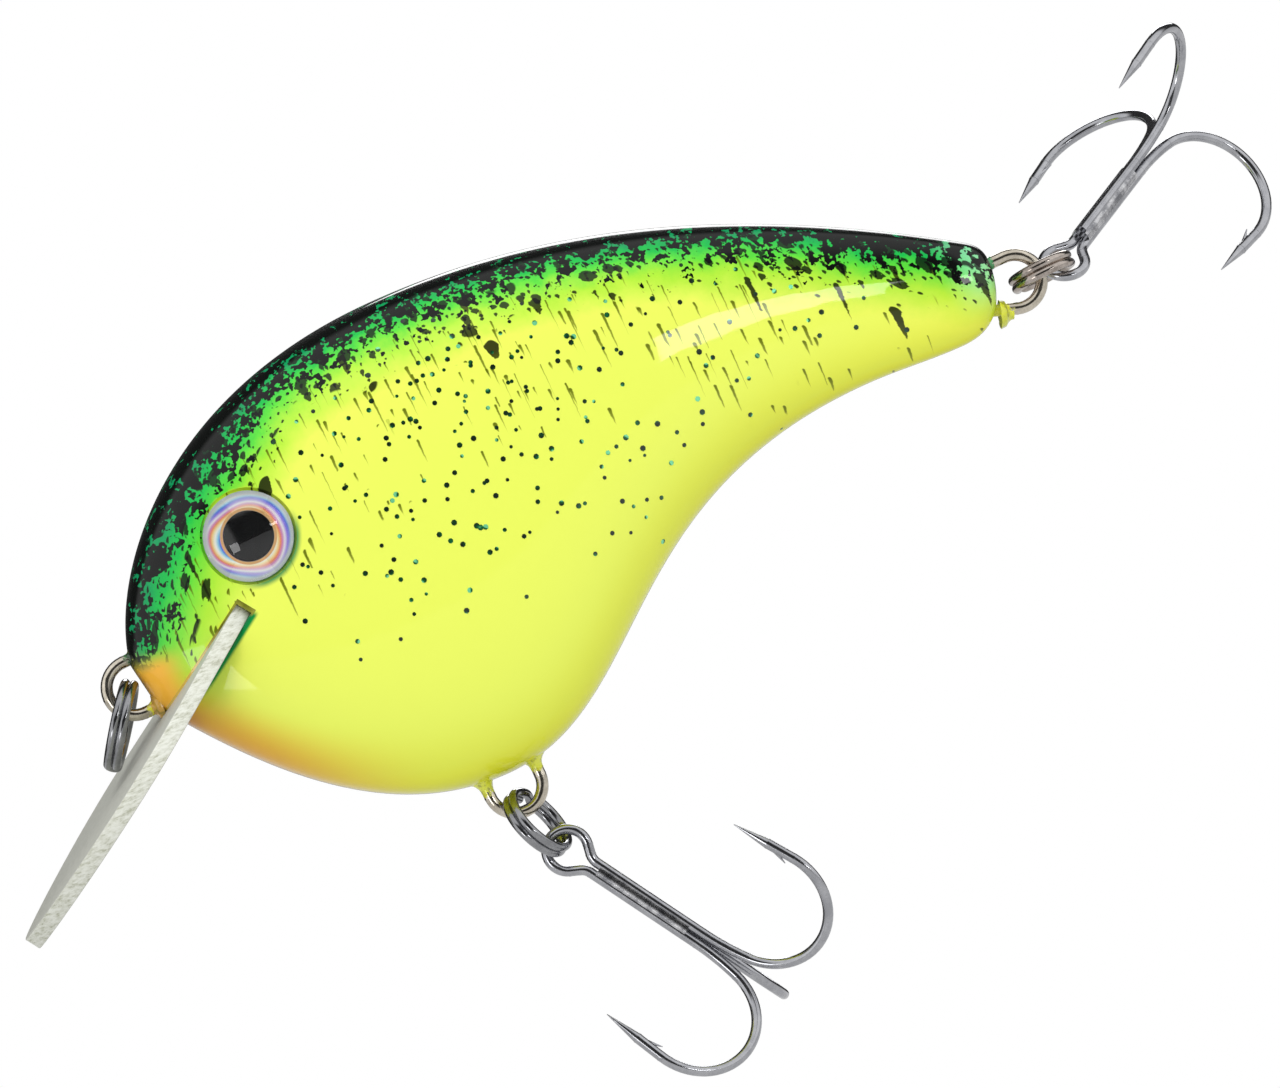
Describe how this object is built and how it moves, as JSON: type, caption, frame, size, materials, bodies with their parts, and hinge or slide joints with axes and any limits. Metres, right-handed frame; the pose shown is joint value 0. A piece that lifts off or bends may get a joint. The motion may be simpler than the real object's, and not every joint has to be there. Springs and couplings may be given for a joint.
{
  "type": "crankbait fishing lure",
  "caption": "Deep-bodied crankbait lure with a sheet diving lip, through-wire loops, split rings and swinging treble hooks.",
  "frame": {"origin": "centre of the wire loop at the nose, where the line is tied", "axes": "+X from the nose towards the tail, +Y across the body towards its right side, +Z from the belly towards the back"},
  "size_m": [0.0958, 0.0257, 0.0549],
  "materials": {
    "painted_body": "glossy clear coat over paint",
    "lip_sheet": "matte fibre sheet",
    "resin": "clear olive resin",
    "harness_wire": "drawn stainless wire",
    "ballast": "dull cast lead",
    "eye_foil": "iridescent foil with a black pupil",
    "eye_dome": "clear domed resin",
    "black_ring": "black nickel",
    "bright_ring": "smoked nickel",
    "hook_wire": "black nickel",
    "hook_braze": "plated braze"
  },
  "bodies": {
    "lure": {"left_body_half": "painted_body", "right_body_half": "painted_body", "diving_lip": "lip_sheet", "lip_slot_resin": "resin", "through_wire_harness": "harness_wire", "belly_ballast_slug": "ballast", "left_eye_foil_disc": "eye_foil", "right_eye_foil_disc": "eye_foil", "left_eye_dome": "eye_dome", "right_eye_dome": "eye_dome"},
    "line_ring": {"line_tie_split_ring": "black_ring"},
    "belly_ring": {"belly_split_ring": "black_ring"},
    "belly_treble": {"belly_treble_double_hook": "hook_wire", "belly_treble_single_hook": "hook_wire", "belly_treble_braze": "hook_braze"},
    "tail_ring": {"tail_split_ring": "bright_ring"},
    "tail_treble": {"tail_treble_double_hook": "hook_wire", "tail_treble_single_hook": "hook_wire", "tail_treble_braze": "hook_braze"}
  },
  "joints": [
    {"name": "line_ring_swing", "type": "hinge", "parent": "lure", "child": "line_ring", "pos_m": [0, 0, 0], "axis": [0, 1, 0], "range_deg": [0, 45]},
    {"name": "belly_ring_swing", "type": "hinge", "parent": "lure", "child": "belly_ring", "pos_m": [0.0199, 0, -0.01605], "axis": [0, 1, 0], "range_deg": [-45, 45]},
    {"name": "belly_treble_swing", "type": "hinge", "parent": "belly_ring", "child": "belly_treble", "pos_m": [0.02012, -0.00078, -0.01882], "axis": [0.8215, -0.4705, 0.3223], "range_deg": [-60, 60]},
    {"name": "tail_ring_swing", "type": "hinge", "parent": "lure", "child": "tail_ring", "pos_m": [0.0633, 0, 0.00005], "axis": [0, 1, 0], "range_deg": [-60, 60]},
    {"name": "tail_treble_swing", "type": "hinge", "parent": "tail_ring", "child": "tail_treble", "pos_m": [0.0653, 0.00088, -0.00007], "axis": [-0.0193, 0.1063, 0.9942], "range_deg": [-15, 60]}
  ]
}
